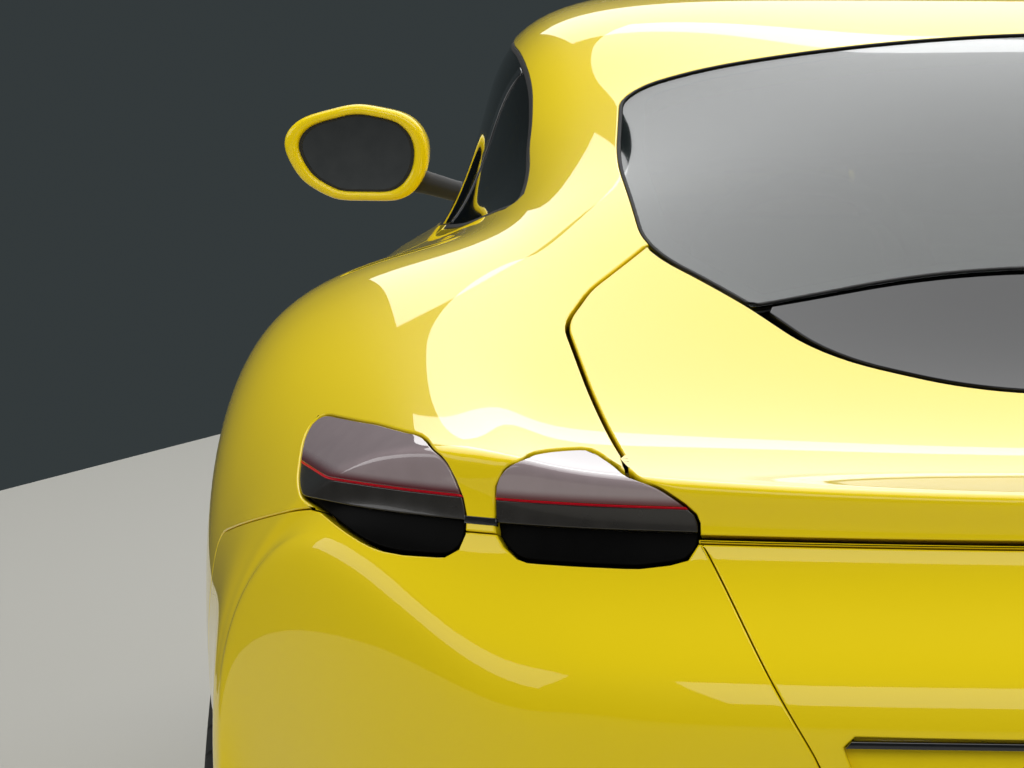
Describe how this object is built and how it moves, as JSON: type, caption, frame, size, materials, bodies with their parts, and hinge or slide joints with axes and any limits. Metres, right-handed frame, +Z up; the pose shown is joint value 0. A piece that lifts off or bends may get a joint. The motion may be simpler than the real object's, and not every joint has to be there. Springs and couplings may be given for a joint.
{
  "type": "two-door fastback coupe car",
  "caption": "Two-door fastback sports coupe with a wide tail, slim lamps, opening doors, bonnet and boot lid, steering front wheels and turning wheels on a full floor with a cabin.",
  "frame": {"origin": "on the ground, midway between the ends and the sides", "axes": "+X forward, +Y to the car's left, +Z up"},
  "size_m": [4.656, 2.1466, 1.301],
  "materials": {
    "paint": "gloss yellow",
    "glass": "tinted, glossy",
    "black_gloss": "gloss black",
    "black_trim": "satin black",
    "lamp_red": "smoked red lens",
    "lamp_clear": "clear lens",
    "tyre": "matte rubber",
    "alloy": "dark satin alloy",
    "steel": "machined",
    "iron": "cast",
    "exhaust": "polished tips",
    "leather": "dark hide",
    "structure": "matt underbody"
  },
  "bodies": {
    "body": {"floor": "structure", "body_side_left": "paint", "body_side_right": "paint", "roof": "paint", "windscreen": "glass", "rear_window": "glass", "quarter_glass": "glass", "front_wings": "paint", "front_bumper": "paint", "grille": "black_gloss", "headlamps": "lamp_clear", "rear_bumper": "paint", "plate_panel": "paint", "tail_lamps": "lamp_red", "diffuser": "black_trim", "exhaust": "exhaust", "wheel_liners": "black_trim", "firewall": "structure", "engine": "iron", "front_suspension": "iron", "rear_suspension": "iron", "front_seats": "leather", "rear_seats": "leather", "dashboard": "leather", "rear_uprights": "iron"},
    "bonnet": {"bonnet": "paint"},
    "boot_lid": {"boot_lid": "paint"},
    "spoiler_flap": {"spoiler_flap": "black_gloss"},
    "door_left": {"door_left": "paint", "door_glass_left": "glass", "mirror_left": "paint"},
    "door_right": {"door_right": "paint", "door_glass_right": "glass", "mirror_right": "paint"},
    "knuckle_left": {"knuckle_left": "iron"},
    "knuckle_right": {"knuckle_right": "iron"},
    "steering_rack": {"steering_rack": "steel"},
    "steering_wheel": {"steering_wheel": "leather"},
    "wheel_front_left": {"rim_front_left": "alloy", "tyre_front_left": "tyre", "hub_front_left": "steel"},
    "wheel_front_right": {"rim_front_right": "alloy", "tyre_front_right": "tyre", "hub_front_right": "steel"},
    "wheel_rear_left": {"rim_rear_left": "alloy", "tyre_rear_left": "tyre", "hub_rear_left": "steel"},
    "wheel_rear_right": {"rim_rear_right": "alloy", "tyre_rear_right": "tyre", "hub_rear_right": "steel"}
  },
  "joints": [
    {"name": "steer_left", "type": "hinge", "parent": "body", "child": "knuckle_left", "pos_m": [1.328, 0.79, 0.34], "axis": [0, 0, 1], "range_deg": [-32, 32]},
    {"name": "steer_right", "type": "hinge", "parent": "body", "child": "knuckle_right", "pos_m": [1.328, -0.79, 0.34], "axis": [0, 0, 1], "range_deg": [-32, 32]},
    {"name": "rack_travel", "type": "slide", "parent": "body", "child": "steering_rack", "axis": [0, 1, 0], "range_m": [-0.07, 0.07]},
    {"name": "steering_wheel_turn", "type": "hinge", "parent": "body", "child": "steering_wheel", "pos_m": [0.33, 0.37, 0.812], "axis": [-0.9336, 0, 0.3584], "range_deg": [-390, 390]},
    {"name": "spin_front_left", "type": "hinge", "parent": "knuckle_left", "child": "wheel_front_left", "pos_m": [1.328, 0.826, 0.34], "axis": [0, 1, 0], "continuous": true},
    {"name": "spin_front_right", "type": "hinge", "parent": "knuckle_right", "child": "wheel_front_right", "pos_m": [1.328, -0.826, 0.34], "axis": [0, 1, 0], "continuous": true},
    {"name": "spin_rear_left", "type": "hinge", "parent": "body", "child": "wheel_rear_left", "pos_m": [-1.342, 0.826, 0.354], "axis": [0, 1, 0], "continuous": true},
    {"name": "spin_rear_right", "type": "hinge", "parent": "body", "child": "wheel_rear_right", "pos_m": [-1.342, -0.826, 0.354], "axis": [0, 1, 0], "continuous": true},
    {"name": "door_left_open", "type": "hinge", "parent": "body", "child": "door_left", "pos_m": [0.6455, 0.9585, 0.72], "axis": [0, 0.1392, -0.9903], "range_deg": [0, 62]},
    {"name": "door_right_open", "type": "hinge", "parent": "body", "child": "door_right", "pos_m": [0.6455, -0.9585, 0.72], "axis": [0, 0.1392, 0.9903], "range_deg": [0, 62]},
    {"name": "bonnet_open", "type": "hinge", "parent": "body", "child": "bonnet", "pos_m": [0.497, 0, 0.95], "axis": [0, -1, 0], "range_deg": [0, 52]},
    {"name": "boot_lid_open", "type": "hinge", "parent": "body", "child": "boot_lid", "pos_m": [-1.43, 0, 1.05], "axis": [0, 1, 0], "range_deg": [0, 58]},
    {"name": "spoiler_flap_open", "type": "hinge", "parent": "boot_lid", "child": "spoiler_flap", "pos_m": [-1.668, 0, 1.0125], "axis": [0, 1, 0], "range_deg": [0, 35]}
  ],
  "couplings": [
    {"joint": "steer_right", "follows": "steer_left", "ratio": 1},
    {"joint": "rack_travel", "follows": "steer_left", "m_per_rad": 0.115},
    {"joint": "steering_wheel_turn", "follows": "steer_left", "ratio": 12}
  ]
}
